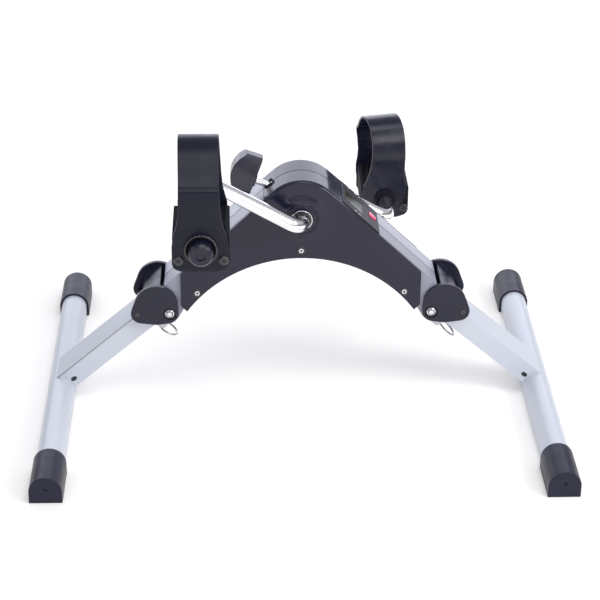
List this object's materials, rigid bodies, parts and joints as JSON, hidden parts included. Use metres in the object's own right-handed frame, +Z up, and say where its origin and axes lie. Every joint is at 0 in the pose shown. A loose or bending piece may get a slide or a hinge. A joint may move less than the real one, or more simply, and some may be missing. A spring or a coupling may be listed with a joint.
{
  "type": "folding pedal exerciser",
  "caption": "Folding pedal exerciser: silver inverted-V frame on hinged legs with rubber-tipped floor bars, chrome bent-rod crank, strapped pedals, tension knob and small display.",
  "frame": {"origin": "on the floor at the middle of the footprint (bottom centre of the bounding box)", "axes": "+X from the left leg to the right leg, towards the display side; +Y along the crank axle, away from the near pedal; +Z up"},
  "size_m": [0.494, 0.412, 0.3324],
  "materials": {
    "silver_paint": "satin",
    "grey_paint": "satin",
    "black_plastic": "satin",
    "dark_plastic": "satin",
    "display_lens": "gloss",
    "lcd": "gloss",
    "board": "satin",
    "red_button": "gloss",
    "chrome": "polished",
    "steel": "satin",
    "nylon": "satin",
    "rubber": "matte",
    "lining": "matte"
  },
  "bodies": {
    "frame": {"frame_near": "grey_paint", "frame_far": "grey_paint", "cover_near": "black_plastic", "cover_far": "black_plastic", "arch_near": "black_plastic", "arch_far": "black_plastic", "cover_screws": "steel", "display_case": "dark_plastic", "display_lens": "display_lens", "display_lcd": "lcd", "display_board": "board", "display_battery": "steel", "bushing_near": "dark_plastic", "bushing_far": "dark_plastic", "tension_bracket": "steel", "brake_shoe": "lining", "knuckle_left_near": "dark_plastic", "knuckle_left_far": "dark_plastic", "knuckle_right_near": "dark_plastic", "knuckle_right_far": "dark_plastic", "latch_left": "steel", "latch_right": "steel", "pivot_bolts": "chrome", "pivot_nuts": "chrome", "pivot_spacers": "nylon", "stop_rivets": "steel"},
    "crank": {"crank_near": "chrome", "crank_far": "chrome", "brake_drum": "steel", "sensor_magnet": "dark_plastic", "axle_washers": "dark_plastic", "pedal_clips": "steel"},
    "near_pedal": {"near_pedal_body": "dark_plastic", "near_pedal_cap": "dark_plastic", "near_pedal_strap": "rubber", "near_pedal_studs": "dark_plastic"},
    "far_pedal": {"far_pedal_body": "dark_plastic", "far_pedal_cap": "dark_plastic", "far_pedal_strap": "rubber", "far_pedal_studs": "dark_plastic"},
    "knob": {"tension_knob": "dark_plastic", "tension_screw": "chrome"},
    "button": {"display_button": "red_button"},
    "left_leg": {"left_leg_tube": "silver_paint", "left_leg_tang": "steel", "left_floor_bar": "silver_paint", "left_foot_caps": "rubber", "left_lock_body": "steel", "left_lock_spring": "steel"},
    "left_lock": {"left_lock_pin": "chrome"},
    "left_ring": {"left_pull_ring": "chrome"},
    "right_leg": {"right_leg_tube": "silver_paint", "right_leg_tang": "steel", "right_floor_bar": "silver_paint", "right_foot_caps": "rubber", "right_lock_body": "steel", "right_lock_spring": "steel"},
    "right_lock": {"right_lock_pin": "chrome"},
    "right_ring": {"right_pull_ring": "chrome"}
  },
  "joints": [
    {"name": "crank_spin", "type": "hinge", "parent": "frame", "child": "crank", "pos_m": [0, 0, 0.196], "axis": [0, 1, 0], "continuous": true},
    {"name": "near_pedal_spin", "type": "hinge", "parent": "crank", "child": "near_pedal", "pos_m": [-0.0899, -0.16, 0.24728], "axis": [0, 1, 0], "continuous": true},
    {"name": "far_pedal_spin", "type": "hinge", "parent": "crank", "child": "far_pedal", "pos_m": [0.0899, 0.16, 0.14472], "axis": [0, 1, 0], "continuous": true},
    {"name": "right_leg_fold", "type": "hinge", "parent": "frame", "child": "right_leg", "pos_m": [0.1245, 0, 0.097], "axis": [0, 1, 0], "range_deg": [0, 150]},
    {"name": "left_leg_fold", "type": "hinge", "parent": "frame", "child": "left_leg", "pos_m": [-0.1245, 0, 0.097], "axis": [0, -1, 0], "range_deg": [0, 98]},
    {"name": "tension_turn", "type": "hinge", "parent": "frame", "child": "knob", "pos_m": [-0.0307, 0, 0.2188], "axis": [-0.9397, 0, 0.342], "range_deg": [-180, 180]},
    {"name": "display_press", "type": "slide", "parent": "frame", "child": "button", "axis": [-0.6884, 0, -0.7254], "range_m": [0, 0.001], "stiffness_N_per_m": 400},
    {"name": "right_lock_pull", "type": "slide", "parent": "right_leg", "child": "right_lock", "axis": [0.4179, 0, -0.9085], "range_m": [0, 0.004], "stiffness_N_per_m": 600},
    {"name": "left_lock_pull", "type": "slide", "parent": "left_leg", "child": "left_lock", "axis": [-0.4179, 0, -0.9085], "range_m": [0, 0.004], "stiffness_N_per_m": 600},
    {"name": "right_ring_swing", "type": "hinge", "parent": "right_lock", "child": "right_ring", "pos_m": [0.13599, 0, 0.07202], "axis": [0, 1, 0], "range_deg": [-10, 100]},
    {"name": "left_ring_swing", "type": "hinge", "parent": "left_lock", "child": "left_ring", "pos_m": [-0.13599, 0, 0.07202], "axis": [0, 1, 0], "range_deg": [-5, 115]}
  ]
}
